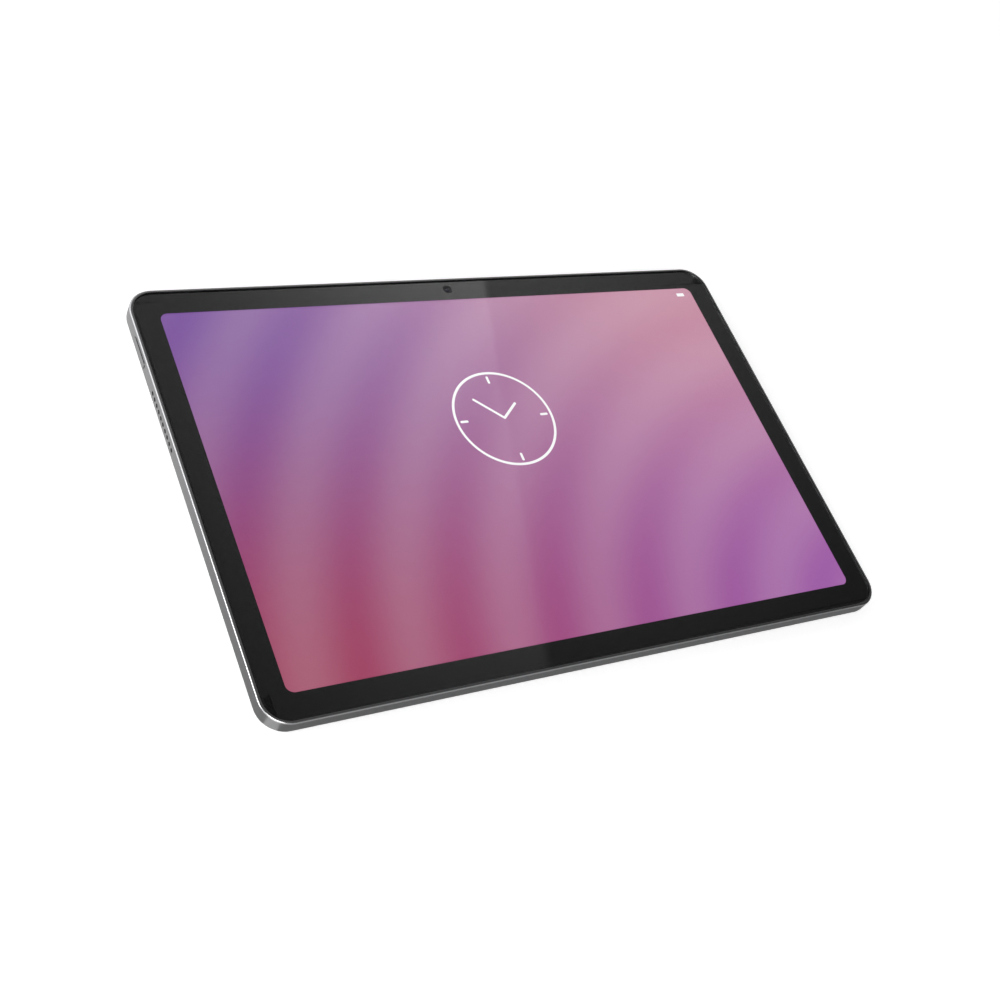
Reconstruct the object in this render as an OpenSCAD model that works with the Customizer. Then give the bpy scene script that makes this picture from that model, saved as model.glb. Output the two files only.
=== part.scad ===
// Tablet computer with a 10.1 inch wide screen, lying on its back.
// The origin is the centre of the back face. +X runs along the long side,
// +Y to the front camera's edge and +Z out of the screen. Millimetres.

/* [Overall] */
// Lit length of the screen
screen_l = 217; // [180:0.5:262]
// Lit width of the screen
screen_w = 135.6; // [113:0.2:164]
// Dark border with the metal rim, on all four sides
border = 9.4; // [9.2:0.1:12]
// Thickness of the tablet
body_t = 7.5; // [7.4:0.1:9.2]

/* [Casing] */
// Radius of the casing's corners, seen from the front
corner_r = 9; // [8:0.5:12]
// Radius of the long curve between back and side
edge_r = 3; // [2.6:0.1:3.2]
// Thickness of the side wall
wall_t = 1; // [0.8:0.05:1.25]
// Thickness of the back wall
back_t = 0.8; // [0.7:0.05:1]
// Radius of the polished rim around the glass
rim_r = 0.6; // [0.3:0.05:0.7]
// Depth of the rim below the face of the glass
rim_drop = 0.1; // [0.05:0.05:0.2]

/* [Display] */
// Thickness of the cover glass
glass_t = 0.7; // [0.5:0.05:0.85]
// Gap between the cover glass and the rim
glass_gap = 0.1; // [0.05:0.01:0.2]
// Thickness of the touch film
touch_t = 0.2; // [0.1:0.05:0.25]
// Thickness of the liquid crystal cell
cell_t = 0.5; // [0.4:0.05:0.6]
// Thickness of the light guide
guide_t = 0.4; // [0.3:0.05:0.5]
// Radius of the lit area's corners
screen_r = 2.7; // [1:0.1:4]

/* [Keys] */
// Length of the power button
power_l = 11.7; // [9:0.1:14]
// Length of the volume rocker
volume_l = 20; // [16:0.5:24]
// Width of the keys, across the wall
key_w = 2.5; // [2:0.1:2.8]
// Height of the keys' middle above the back face
key_z = 4.3; // [4.2:0.1:4.5]
// Middle of the power button, from the top edge
power_from_top = 22.3; // [22:0.1:24]
// Middle of the volume rocker, from the left edge
volume_from_left = 29.9; // [28:0.1:34]
// Gap between a key and its opening
key_gap = 0.12; // [0.08:0.01:0.2]
// How far the keys stand out of the wall
key_out = 0.2; // [0:0.05:0.4]

/* [Sound] */
// Holes in each speaker grille
grille_count = 10; // [6:1:10]
// Distance between the holes of a grille
grille_pitch = 2.37; // [2:0.01:2.4]
// Diameter of a grille hole
grille_d = 1.45; // [1:0.05:1.8]
// First grille hole, from the top edge
grille_from_top = 38.3; // [37:0.1:40]
// Diameter of the headphone bore
jack_d = 3.6; // [3.5:0.05:3.6]
// Depth of the headphone bore
jack_depth = 14; // [13:0.5:15]

/* [Sockets] */
// Middle of the charging socket, from the top edge
usb_from_top = 77.2; // [76:0.1:78]
// Middle of the headphone bore, from the top edge
jack_from_top = 107; // [102:0.5:108]
// Width of the memory card tray's face
tray_w = 16.4; // [15:0.1:17]
// Length of the memory card tray
tray_l = 18.9; // [17:0.1:19]

/* [Power] */
// Length of the battery
battery_l = 110; // [60:1:132]
// Thickness of the battery
battery_t = 3.1; // [2:0.1:3.2]

/* [Boards] */
// Length of the main board
board_l = 88; // [86:1:92]
// Width of the main board
board_w = 36; // [35:0.5:40]
// Thickness of the boards
board_t = 0.8; // [0.6:0.1:0.8]

/* [Hidden] */
$fn = 48;

// Outline of the casing, its cavity, the glass and the display module
body_l = screen_l + 2 * border;
body_w = screen_w + 2 * border;
in_l = body_l - 2 * wall_t;
in_w = body_w - 2 * wall_t;
in_r = corner_r - wall_t;
toe_r = edge_r - wall_t;              // radius inside the long back curve
glass_l = in_l - 2 * glass_gap;
glass_w = in_w - 2 * glass_gap;
glass_r = in_r - glass_gap;
side_x = in_l / 2;                    // inside face of the short walls
top_y = in_w / 2;                     // inside face of the long walls
module_x = screen_l / 2 + 1.3;        // display module, half its length
module_y0 = -screen_w / 2 - 2.6;      // wider along the lamp strip
module_y1 = screen_w / 2 + 1.5;

// Heights of the display stack, worked down from the glass
print_t = 0.05;
tape_t = 0.2;
films_t = 0.15;
sheet_t = 0.1;
tray_t = 0.15;
foam_gap = 0.1;
frame_t = 0.45;
glass_z = body_t - glass_t;
print_z = glass_z - print_t;
touch_z = print_z - touch_t;
cell_z = touch_z - cell_t;
films_z = cell_z - films_t;
guide_z = films_z - guide_t;
reflector_z = guide_z - sheet_t;
pan_z = reflector_z - tray_t;
frame_z = pan_z - foam_gap - frame_t; // underside of the middle frame's plate
ledge_z = print_z - tape_t;           // top of the middle frame's ledge
bridge_z = ledge_z - 0.55;            // underside of the ledge over a notch

// Boards, bosses and screws
boss_h = 0.9;
board_z = back_t + boss_h;
deck_z = board_z + board_t;           // where parts are soldered
board_x1 = side_x - 22;
board_x0 = board_x1 - board_l;
board_y1 = top_y - 2;
board_y0 = board_y1 - board_w;
thread_r = 0.6;
frame_boss_r = 1.9;
board_boss_r = 1.6;
head_r = 1.3;
head_t = 0.5;
loose = 0.2;                          // clearance of a screw in its hole
sink_z = bridge_z - 0.5;              // seat of the middle frame's screws
frame_screw_edge = 3.2;

// Keys on the left wall and on the top wall
power_y = body_w / 2 - power_from_top;
volume_x = volume_from_left - body_l / 2;
power_travel = 0.35;
key_gap_behind = 0.43;
flange_gap = 0.1;
flange_t = 0.5;
nub_l = 0.8;
dome_t = 0.35;
dome_r = 1.5;
contact_t = 0.12;
bracket_t = 0.3;
dome_at = flange_gap + flange_t + nub_l + key_gap_behind;
contact_at = dome_at + dome_t;
bracket_at = contact_at + contact_t;
volume_nub = volume_l * 0.35;

// Sound
grille_z = key_z + 0.15;
grille_y = body_w / 2 - grille_from_top;
grille_span = (grille_count - 1) * grille_pitch;
speaker_l = 27;
speaker_depth = 18;
rest_gap = 0.0075;
speaker_y = grille_y - grille_span / 2;
mesh_t = 0.15;
jack_y = body_w / 2 - jack_from_top;
jack_wall = 0.45;
jack_z = back_t + 0.05 + jack_wall + jack_d / 2;
jack_set_back = 1.2;
jack_l = jack_depth + 0.5;
jack_half_w = 3;
mic_x = board_x0 + 20;
mic_z = 3.9;
mic_hole_r = 0.45;

// Charging socket
usb_y = body_w / 2 - usb_from_top;
usb_in_w = 8.34;
usb_in_h = 2.56;
usb_shell_t = 0.3;
usb_out_w = usb_in_w + 2 * usb_shell_t;
usb_out_h = usb_in_h + 2 * usb_shell_t;
usb_z = deck_z + usb_out_h / 2;
usb_l = 7.25;
usb_set_back = 0.35;
usb_face_x = body_l / 2 - usb_set_back;
sub_x0 = side_x - 33;
sub_y1 = speaker_y - speaker_l / 2 - 1.5;
sub_y0 = jack_y - jack_half_w - 8;

// Memory card tray and its ejector
tray_x = board_x0 + 55;
tray_z = 3.9;
tray_h = 2.1;
tray_gap = 0.1;
blade_t = 0.8;
blade_x0 = -6.8;
blade_x1 = 6;
pin_x = 7.3;
pin_r = 0.45;
rod_w = 0.8;
tail_y = body_w / 2 - tray_l - 0.1;   // the tray's inner end
lever_pivot_x = 2;
lever_w = 1;
lever_gap = 0.2;
lever_y = tail_y - lever_gap - lever_w / 2;
lever_pin_r = 0.4;
lever_bore_r = 0.45;

// Battery, in the bay between the boards and the lower edge
battery_gap = 2;
battery_z = back_t + 0.12;
battery_x = (speaker_depth - 32) / 2;
battery_y0 = -top_y + 7;
battery_y1 = board_y0 - battery_gap;
battery_y = (battery_y0 + battery_y1) / 2;
battery_w = battery_y1 - battery_y0;
cell_split = 1;

// Cameras
camera_y = screen_w / 2 + 4.7;
camera_r = 1.85;
rear_x = side_x - 14;
rear_y = top_y - 17;
rear_r = 4.6;
rear_glass_r = 3.4;

// Flat cables
flex_t = 0.12;
touch_flex_x = board_x0 + 13;
touch_flex_w = 10;
display_flex_x = board_x0 + 40;
display_flex_w = 24;
flex_drop_y = module_y0 - 0.9;

// Radio window and aerial
window_l = -2 * volume_x - volume_l - 6;   // ends beside the volume rocker's bracket
window_w = 13;
window_y = top_y - 12;
window_gap = 0.05;
aerial_x0 = volume_x + 27;
aerial_l = 30;
aerial_y = top_y - 8;

// Places of the screws: middle frame, then main board and lower board
frame_screws_at = concat(
    [for (s = [-1, 1], d = [9.7, 92.2, body_w - 9.7])
        [s * (side_x - frame_screw_edge), body_w / 2 - d]],
    [for (x = [volume_x + 22, board_x0 + 28, board_x0 + 81]) [x, top_y - frame_screw_edge]],
    [for (x = [-75, -25, board_x0 + 24, 85]) [x, frame_screw_edge - top_y]]);
board_screws_at = [
    [board_x0 + 3, board_y0 + 3], [board_x1 - 3, board_y0 + 21],
    [board_x0 + 3, board_y0 + 14], [board_x1 - 3, board_y1 - 3],
    [sub_x0 + 3, sub_y1 - 3], [sub_x0 + 3, sub_y0 + 3], [side_x - 4, sub_y0 + 3]];

// Colours
shell_colour = [0.42, 0.42, 0.43];
bright_colour = [0.75, 0.75, 0.77];
dark_colour = [0.08, 0.08, 0.09];
board_colour = [0.05, 0.22, 0.14];
gold_colour = [0.85, 0.65, 0.3];
film_colour = [0.55, 0.35, 0.12];

// A box given by its lowest and highest corners
module block(low, high) {
    translate(low) cube(high - low);
}

// A rectangle with round corners, centred
module rounded(l, w, r) {
    square([l - 2 * r, w], center = true);
    square([l, w - 2 * r], center = true);
    for (sx = [-1, 1], sy = [-1, 1])
        translate([sx * (l / 2 - r), sy * (w / 2 - r)]) circle(r = r);
}

// A plate with round corners from height z
module plate(l, w, r, z, t) {
    translate([0, 0, z]) linear_extrude(t) rounded(l, w, r);
}

// A bar with round ends: length along Y, height along Z, running inwards from x
module pill_x(x, y, z, l, h, depth) {
    translate([x, y, z]) rotate([90, 0, 90]) linear_extrude(depth) rounded(l, h, h / 2 - 0.01);
}

// The same along Y, with its length along X
module pill_y(x, y, z, l, h, depth) {
    translate([x, y, z]) rotate([90, 0, 0]) linear_extrude(depth) rounded(l, h, h / 2 - 0.01);
}

// Round bar along X or Y from a point
module bar_x(p, r, h) {
    translate(p) rotate([0, 90, 0]) cylinder(r = r, h = h);
}
module bar_y(p, r, h) {
    translate(p) rotate([-90, 0, 0]) cylinder(r = r, h = h);
}

// What is cut from a square corner at the origin to round it off
module round_off(r) {
    difference() {
        translate([-0.01, -0.01]) square(r + 0.01);
        translate([r, r]) circle(r = r);
    }
}

// Section through the casing's edge, outwards from a corner's centre
module edge_section() {
    rim_z = body_t - rim_drop;
    difference() {
        square([corner_r, rim_z]);
        translate([corner_r, 0]) mirror([1, 0]) round_off(edge_r);
        translate([corner_r, rim_z]) rotate(180) round_off(rim_r);
        difference() {
            translate([-1, back_t]) square([in_r + 1, body_t]);
            translate([in_r, back_t]) mirror([1, 0]) round_off(toe_r);
        }
    }
}

// One straight side and one corner of the casing
module edge_run(half, length, corner_y) {
    translate([half - corner_r, 0, 0]) rotate([90, 0, 0])
        linear_extrude(length, center = true) edge_section();
    translate([half - corner_r, corner_y, 0]) rotate_extrude(angle = 90) edge_section();
}

module casing_blank() {
    flat_l = body_l - 2 * corner_r;
    flat_w = body_w - 2 * corner_r;
    for (a = [0, 180]) rotate(a) edge_run(body_l / 2, flat_w, flat_w / 2);
    for (a = [90, 270]) rotate(a) edge_run(body_w / 2, flat_l, flat_l / 2);
    linear_extrude(back_t) square([flat_l, flat_w], center = true);
}

// Positions of the grille holes, on the wall at side -1 or 1
module grille_holes(side, r, from_x, depth) {
    for (i = [0:grille_count - 1])
        bar_x([side * from_x - (side > 0 ? 0 : depth), grille_y - i * grille_pitch, grille_z], r, depth);
}

module rear_cover() {
    through = wall_t + 2;
    color(shell_colour) difference() {
        union() {
            casing_blank();
            for (p = frame_screws_at)
                translate([p.x, p.y, back_t]) cylinder(r = frame_boss_r, h = frame_z - back_t);
            for (p = board_screws_at)
                translate([p.x, p.y, back_t]) cylinder(r = board_boss_r, h = boss_h);
        }
        for (p = frame_screws_at)
            translate([p.x, p.y, back_t + 1]) cylinder(r = thread_r, h = body_t);
        for (p = board_screws_at)
            translate([p.x, p.y, back_t / 2]) cylinder(r = thread_r, h = body_t);
        for (side = [-1, 1]) grille_holes(side, grille_d / 2, side_x - 0.5, through);
        pill_x(-body_l / 2 - 1, power_y, key_z, power_l + 2 * key_gap, key_w + 2 * key_gap, through);
        pill_y(volume_x, body_w / 2 + 1, key_z, volume_l + 2 * key_gap, key_w + 2 * key_gap, through);
        pill_y(tray_x, body_w / 2 + 1, tray_z, tray_w + 2 * tray_gap, tray_h + 2 * tray_gap, through);
        pill_x(side_x - 1.5, usb_y, usb_z, usb_out_w + 0.2, usb_out_h + 0.2, 4);
        bar_x([side_x - toe_r - 0.5, jack_y, jack_z], jack_d / 2 + 0.2, 5);
        block([side_x - toe_r - 0.5, jack_y - jack_half_w - 0.1, back_t],
              [side_x - jack_set_back, jack_y + jack_half_w + 0.1, frame_z]);
        bar_y([mic_x, top_y - 1, mic_z], mic_hole_r, 4);
        translate([0, window_y, -1]) linear_extrude(4)
            rounded(window_l + 2 * window_gap, window_w + 2 * window_gap, 3 + window_gap);
        translate([rear_x, rear_y, -1]) cylinder(r = rear_r + 0.05, h = 4);
    }
}

module antenna_window() {
    color(shell_colour) difference() {
        union() {
            translate([0, window_y, 0]) linear_extrude(back_t) rounded(window_l, window_w, 3);
            translate([0, window_y, back_t]) linear_extrude(0.15) rounded(window_l + 3, window_w + 3, 4);
        }
        for (p = frame_screws_at)
            translate([p.x, p.y, back_t / 2]) cylinder(r = frame_boss_r + 0.1, h = 5);
        for (p = board_screws_at)
            translate([p.x, p.y, back_t]) cylinder(r = board_boss_r + 0.1, h = 5);
    }
}

// Room for what stands beside the display, cut up to the underside of the ledge
module side_notch(side, y, half, depth) {
    x0 = side > 0 ? side_x - depth : -side_x - 1;
    block([x0, y - half, 0], [x0 + depth + 1, y + half, bridge_z]);
}
module top_notch(x, half, depth) {
    block([x - half, top_y - depth, 0], [x + half, top_y + 1, bridge_z]);
}

module mid_frame() {
    rim_gap = 0.15;
    open_gap = 0.3;
    color("silver") difference() {
        plate(in_l - 2 * rim_gap, in_w - 2 * rim_gap, in_r - rim_gap, frame_z, ledge_z - frame_z);
        block([-module_x - open_gap, module_y0 - open_gap, frame_z + frame_t],
              [module_x + open_gap, module_y1 + open_gap, body_t]);
        for (p = frame_screws_at) {
            translate([p.x, p.y, 0]) cylinder(r = thread_r + loose, h = body_t);
            translate([p.x, p.y, sink_z]) cylinder(r = head_r + loose, h = body_t);
        }
        side_notch(-1, power_y, power_l / 2 + 2.5, 5);
        for (side = [-1, 1]) side_notch(side, speaker_y, speaker_l / 2, 4);
        side_notch(1, usb_y, usb_out_w / 2 + 1, usb_l + 1.5);
        block([side_x - jack_l - 2, jack_y - jack_half_w - 0.3, 0],
              [side_x + 1, jack_y + jack_half_w + 0.3, frame_z + frame_t + 0.1]);
        top_notch(volume_x, volume_l / 2 + 2.5, 5);
        top_notch(tray_x, tray_w / 2 + 1, 4);
        top_notch(mic_x, 2.6, 5);
        block([-3.6, camera_y - 3.2, 0], [3.6, camera_y + 3.2, bridge_z]);
        translate([0, camera_y, 0]) cylinder(r = camera_r + 0.5, h = body_t);
        translate([rear_x, rear_y, 0]) cylinder(r = rear_r + 0.6, h = frame_z + frame_t + 0.05);
        for (f = [[touch_flex_x, touch_flex_w], [display_flex_x, display_flex_w]])
            block([f[0] - f[1] / 2 - 0.5, flex_drop_y - 0.8, 0],
                  [f[0] + f[1] / 2 + 0.5, module_y0 + 0.5, body_t]);
    }
}

module frame_screws() {
    color(bright_colour) for (p = frame_screws_at) translate([p.x, p.y, 0]) difference() {
        union() {
            translate([0, 0, sink_z]) cylinder(r = head_r, h = head_t);
            translate([0, 0, back_t + 1.4]) cylinder(r = thread_r, h = sink_z - back_t - 1.4);
        }
        for (a = [0, 90]) rotate(a)
            translate([-0.8, -0.15, sink_z + 0.25]) cube([1.6, 0.3, 1]);
    }
}

module cover_glass() {
    color([0.1, 0.1, 0.12, 0.4]) plate(glass_l, glass_w, glass_r, glass_z, glass_t);
}

module border_print() {
    inset = 0.15;
    color(dark_colour) difference() {
        plate(glass_l - 2 * inset, glass_w - 2 * inset, glass_r - inset, print_z, print_t);
        plate(screen_l, screen_w, screen_r, 0, body_t);
        translate([0, camera_y, 0]) cylinder(r = camera_r - 0.45, h = body_t);
    }
}

module display_adhesive() {
    inset = 0.5;
    color(dark_colour) difference() {
        plate(glass_l - 2 * inset, glass_w - 2 * inset, glass_r - inset, ledge_z, tape_t);
        block([-module_x - 0.5, module_y0 - 1.8, 0], [module_x + 0.5, module_y1 + 0.5, body_t]);
        translate([0, camera_y, 0]) cylinder(r = camera_r + 0.5, h = body_t);
    }
}

// One sheet of the display module, set in from the module's outline
module sheet(inset, z, t, y_low = 0) {
    block([-module_x + inset, module_y0 + inset + y_low, z], [module_x - inset, module_y1 - inset, z + t]);
}

module touch_sensor() {
    color([0.3, 0.3, 0.35, 0.5]) sheet(0.05, touch_z, touch_t);
}

module lcd_cell() {
    color([0.62, 0.25, 0.42]) sheet(0.1, cell_z, cell_t);
}

module diffuser_films() {
    color("white") for (i = [0:2]) sheet(tray_t + 0.1 + 0.05 * i, films_z + i * films_t / 3, films_t / 3);
}

module light_guide() {
    color([0.85, 0.93, 0.95, 0.7]) sheet(tray_t + 0.1, guide_z, guide_t, 1.1);
}

module led_strip() {
    lamp_pitch = 5;
    lamps = floor((2 * module_x - 8) / lamp_pitch);
    y0 = module_y0 + tray_t + 0.1;
    color("khaki") {
        block([-module_x + 2, y0, guide_z], [module_x - 2, y0 + 0.8, guide_z + 0.1]);
        for (i = [0:lamps - 1])
            translate([(i - (lamps - 1) / 2) * lamp_pitch - 1.5, y0 + 0.2, guide_z + 0.1])
            cube([3, 0.6, guide_t - 0.1]);
    }
}

module reflector_sheet() {
    color("white") sheet(tray_t + 0.1, reflector_z, sheet_t);
}

module backlight_tray() {
    color("silver") difference() {
        sheet(0, pan_z, cell_z - pan_z);
        sheet(tray_t, pan_z + tray_t, body_t);
    }
}

// A flat cable that leaves the display's lower edge and runs back under the middle frame
module display_cable(x, w, from_z, end_y) {
    under_z = frame_z - 0.1 - flex_t;
    translate([x + w / 2, 0, 0]) rotate([90, 0, -90]) linear_extrude(w) {
        translate([-module_y0, from_z]) square([module_y0 - flex_drop_y, flex_t]);
        translate([-flex_drop_y - flex_t, under_z]) square([flex_t, from_z - under_z + flex_t]);
        translate([-end_y, under_z]) square([end_y - flex_drop_y, flex_t]);
    }
}

module display_flex() {
    color(film_colour) display_cable(display_flex_x, display_flex_w, cell_z + 0.2, board_y0 + 5);
}

module touch_flex() {
    color(film_colour) display_cable(touch_flex_x, touch_flex_w, touch_z + 0.03, board_y0 + 5);
}

module front_camera() {
    color(dark_colour) {
        block([-3.2, camera_y - 2.8, deck_z + 0.5], [3.2, camera_y + 2.8, bridge_z - 0.1]);
        translate([0, camera_y, bridge_z - 0.1]) difference() {
            cylinder(r = camera_r, h = ledge_z - bridge_z + 0.1);
            translate([0, 0, 0.3]) cylinder(r1 = 0.7, r2 = 1.2, h = 1);
        }
    }
}

module front_camera_lens() {
    color([0.1, 0.12, 0.2]) translate([0, camera_y, bridge_z + 0.2]) intersection() {
        cylinder(r = 0.7, h = 0.3);
        translate([0, 0, -1.1]) sphere(r = 1.4);
    }
}

module battery_cells() {
    half = (battery_l - cell_split) / 2;
    color([0.25, 0.25, 0.27]) for (s = [-1, 1])
        translate([battery_x + s * (half + cell_split) / 2, battery_y, battery_z])
            linear_extrude(battery_t) rounded(half, battery_w, 1.5);
}

module battery_adhesive() {
    color("white") for (i = [-1.5:1:1.5])
        translate([battery_x + i * battery_l / 4, battery_y, back_t])
            linear_extrude(battery_z - back_t) square([12, battery_w - 6], center = true);
}

module battery_board() {
    color(board_colour)
        block([board_x0 - 24, battery_y1 + 0.1, battery_z + 1],
              [board_x0 + 8, battery_y1 + 1.6, battery_z + 2.2]);
}

module battery_cable() {
    x = board_x0 + 1.5;
    color("firebrick") for (i = [0:3])
        block([x + i * 1.5, battery_y1 + 0.5, battery_z + 2.2],
              [x + i * 1.5 + 1, board_y0 + 0.2, battery_z + 2.9]);
}

module screw_holes(r) {
    for (p = board_screws_at) translate([p.x, p.y, 0]) cylinder(r = r, h = body_t);
}

module main_board() {
    color(board_colour) difference() {
        block([board_x0, board_y0, board_z], [board_x1, board_y1, deck_z]);
        screw_holes(thread_r + loose);
        for (p = frame_screws_at) translate([p.x, p.y, 0]) cylinder(r = frame_boss_r + 0.3, h = body_t);
    }
}

// A box on the main board, from the board's lower left corner
module on_board(x, y, l, w, h) {
    block([board_x0 + x, board_y0 + y, deck_z], [board_x0 + x + l, board_y0 + y + w, deck_z + h]);
}

module board_chips() {
    color([0.12, 0.12, 0.13]) {
        on_board(12, 16, 11, 11, 0.9);
        on_board(25, 16, 9, 11, 0.9);
        on_board(13, 8, 4, 4, 0.7);
        on_board(43, 8, 6, 6, 0.8);
        on_board(66, 8, 5, 5, 0.7);
        on_board(73, 8, 4, 3, 0.7);
    }
}

// A folded sheet can, open below
module can(x, y, l, w, h) {
    t = 0.15;
    color("silver") difference() {
        on_board(x, y, l, w, h);
        translate([0, 0, -0.01]) on_board(x + t, y + t, l - 2 * t, w - 2 * t, h - t + 0.01);
    }
}

module processor_shield() {
    can(10, 14, 27, 16, 1.3);
}

module power_shield() {
    can(40, 6, 14, 10, 1.3);
}

module radio_shield() {
    can(63, 6, 16, 9, 1.3);
}

module graphite_pad() {
    color([0.15, 0.15, 0.16]) translate([0, 0, 1.3]) on_board(11, 15, 25, 14, 0.2);
}

module board_connectors() {
    top = frame_z - 0.1 - flex_t - deck_z;
    color("ivory") {
        on_board(touch_flex_x - board_x0 - 4.5, 0.8, 9, 2.8, top);
        on_board(display_flex_x - board_x0 - 11.5, 0.8, 23, 2.8, top);
        on_board(80, 10, 5, 8, 0.9);
        on_board(1.4, 0.2, 5.8, 1.3, 0.9);   // plug of the battery's wires
    }
}

module board_screws() {
    color(bright_colour) for (p = board_screws_at) translate([p.x, p.y, 0]) {
        translate([0, 0, deck_z]) cylinder(r = head_r, h = head_t);
        translate([0, 0, back_t / 2 + 0.1]) cylinder(r = thread_r, h = deck_z - back_t / 2 - 0.1);
    }
}

module sub_board() {
    color(board_colour) difference() {
        block([sub_x0, sub_y0, board_z], [side_x - 0.6, sub_y1, deck_z]);
        block([side_x - jack_set_back - jack_l - 0.3, jack_y - jack_half_w - 0.3, 0],
              [side_x, jack_y + jack_half_w + 0.3, body_t]);
        screw_holes(thread_r + loose);
        for (p = frame_screws_at) translate([p.x, p.y, 0]) cylinder(r = frame_boss_r + 0.3, h = body_t);
    }
}

module link_flex() {
    x = sub_x0 + 7;
    color(film_colour) block([x, sub_y1 - 4, deck_z], [x + 5, board_y0 + 4, deck_z + flex_t]);
}

module usb_shell() {
    color("silver") difference() {
        pill_x(usb_face_x - usb_l, usb_y, usb_z, usb_out_w, usb_out_h, usb_l);
        pill_x(usb_face_x - usb_l + 0.4, usb_y, usb_z, usb_in_w, usb_in_h, usb_l);
    }
}

module usb_tongue() {
    color(dark_colour) {
        pill_x(usb_face_x - usb_l + 0.4, usb_y, usb_z, usb_in_w, usb_in_h, 1.2);
        block([usb_face_x - usb_l + 1.6, usb_y - 3.35, usb_z - 0.35],
              [usb_face_x - 0.9, usb_y + 3.35, usb_z + 0.35]);
    }
}

module usb_contacts() {
    color(gold_colour) for (i = [-5.5:1:5.5], s = [0, 1])
        block([usb_face_x - 5, usb_y + i * 0.5 - 0.13, usb_z + (s > 0 ? 0.35 : -0.4)],
              [usb_face_x - 1.4, usb_y + i * 0.5 + 0.13, usb_z + (s > 0 ? 0.4 : -0.35)]);
}

module usb_seal() {
    color(dark_colour) difference() {
        pill_x(side_x - 2.4, usb_y, usb_z, usb_out_w + 0.5, usb_out_h + 0.5, 0.8);
        pill_x(side_x - 3, usb_y, usb_z, usb_out_w, usb_out_h, 2);
        block([side_x - 3, usb_y - 6, 0], [side_x, usb_y + 6, deck_z]);
    }
}

module headphone_jack() {
    x1 = side_x - jack_set_back;
    color(dark_colour) difference() {
        block([x1 - jack_l, jack_y - jack_half_w, back_t + 0.05], [x1, jack_y + jack_half_w, pan_z - 0.15]);
        bar_x([x1 - jack_depth, jack_y, jack_z], jack_d / 2, jack_depth + 1);
    }
}

module jack_contacts() {
    x1 = side_x - jack_set_back;
    color(gold_colour) for (i = [0:3])
        block([x1 - 12 + 3 * i, jack_y - jack_half_w - 0.2, deck_z],
              [x1 - 11 + 3 * i, jack_y - jack_half_w, deck_z + 1.2]);
}

// A sealed speaker box with its mouth at the wall
module speaker() {
    // its lower corner rests on the long curve of the casing
    near = toe_r - sqrt(pow(toe_r - rest_gap, 2) - pow(toe_r - 0.1, 2));
    color([0.15, 0.15, 0.16]) difference() {
        union() {
            block([side_x - speaker_depth, speaker_y - speaker_l / 2, back_t + 0.1],
                  [side_x - near, speaker_y + speaker_l / 2, frame_z - 0.15]);
            block([side_x - 3, speaker_y - speaker_l / 2 + 0.5, key_z - 1],
                  [side_x - mesh_t, speaker_y + speaker_l / 2 - 0.5, bridge_z - 0.1]);
        }
        block([side_x - 2.4, grille_y - grille_span - 0.8, grille_z - 0.8],
              [side_x + 1, grille_y + 0.8, grille_z + 0.8]);
        translate([side_x - 11, speaker_y, frame_z - 0.6]) difference() {
            cylinder(r = 6, h = 2);
            cylinder(r = 4.6, h = 2);
        }
    }
}

module left_speaker() {
    mirror([1, 0, 0]) speaker();
}

module right_speaker() {
    speaker();
}

module speaker_meshes() {
    color(dark_colour) for (side = [0, 1]) mirror([side, 0, 0])
        block([side_x - mesh_t, grille_y - grille_span - 1.4, grille_z - 1.15],
              [side_x, grille_y + 1.4, grille_z + 1.15]);
}

module microphone() {
    color(gold_colour) block([mic_x - 1.8, top_y - 4, deck_z], [mic_x + 1.8, top_y - 1.5, mic_z + 0.9]);
}

module microphone_seal() {
    color(dark_colour) difference() {
        block([mic_x - 1.6, top_y - 1.5, mic_z - 1], [mic_x + 1.6, top_y, mic_z + 1]);
        bar_y([mic_x, top_y - 1.2, mic_z], mic_hole_r, 4);
    }
}

// A key in the wall: its cap, the flange behind the wall and its nubs
module power_button() {
    reach = wall_t + flange_gap;
    color(shell_colour) {
        pill_x(-body_l / 2 - key_out, power_y, key_z, power_l, key_w, reach + key_out);
        pill_x(-side_x + flange_gap, power_y, key_z, power_l + 1.6, key_w + 0.4, flange_t);
        bar_x([-side_x + flange_gap + flange_t, power_y, key_z], 0.8, nub_l);
    }
}

module power_switch() {
    color(bright_colour) {
        block([-side_x + contact_at, power_y - 4, key_z - 1.4],
              [-side_x + bracket_at, power_y + 4, key_z + 1.4]);
        bar_x([-side_x + dome_at, power_y, key_z], dome_r * 0.6, dome_t);
        bar_x([-side_x + dome_at + dome_t / 2, power_y, key_z], dome_r, dome_t / 2);
    }
}

// A bent plate that backs the switches of a key
module key_bracket(half) {
    block([bracket_at, -half, back_t + 0.25], [bracket_at + bracket_t, half, key_z + 1.6]);
    block([bracket_at, -half, back_t], [bracket_at + 2.4, half, back_t + 0.25]);
}

module power_bracket() {
    color("silver") translate([-side_x, power_y, 0]) key_bracket(power_l / 2 + 1);
}

module volume_rocker() {
    reach = wall_t + flange_gap;
    color(shell_colour) {
        pill_y(volume_x, body_w / 2 + key_out, key_z, volume_l, key_w, reach + key_out);
        pill_y(volume_x, top_y - flange_gap - 0.3, key_z, volume_l - 2, key_w, flange_t - 0.3);
        pill_y(volume_x, top_y - flange_gap, key_z, volume_l - 2, key_w, 0.3);
        for (s = [-1, 1])
            bar_y([volume_x + s * volume_nub, top_y - flange_gap - flange_t - nub_l, key_z], 0.8, nub_l);
    }
}

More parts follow.
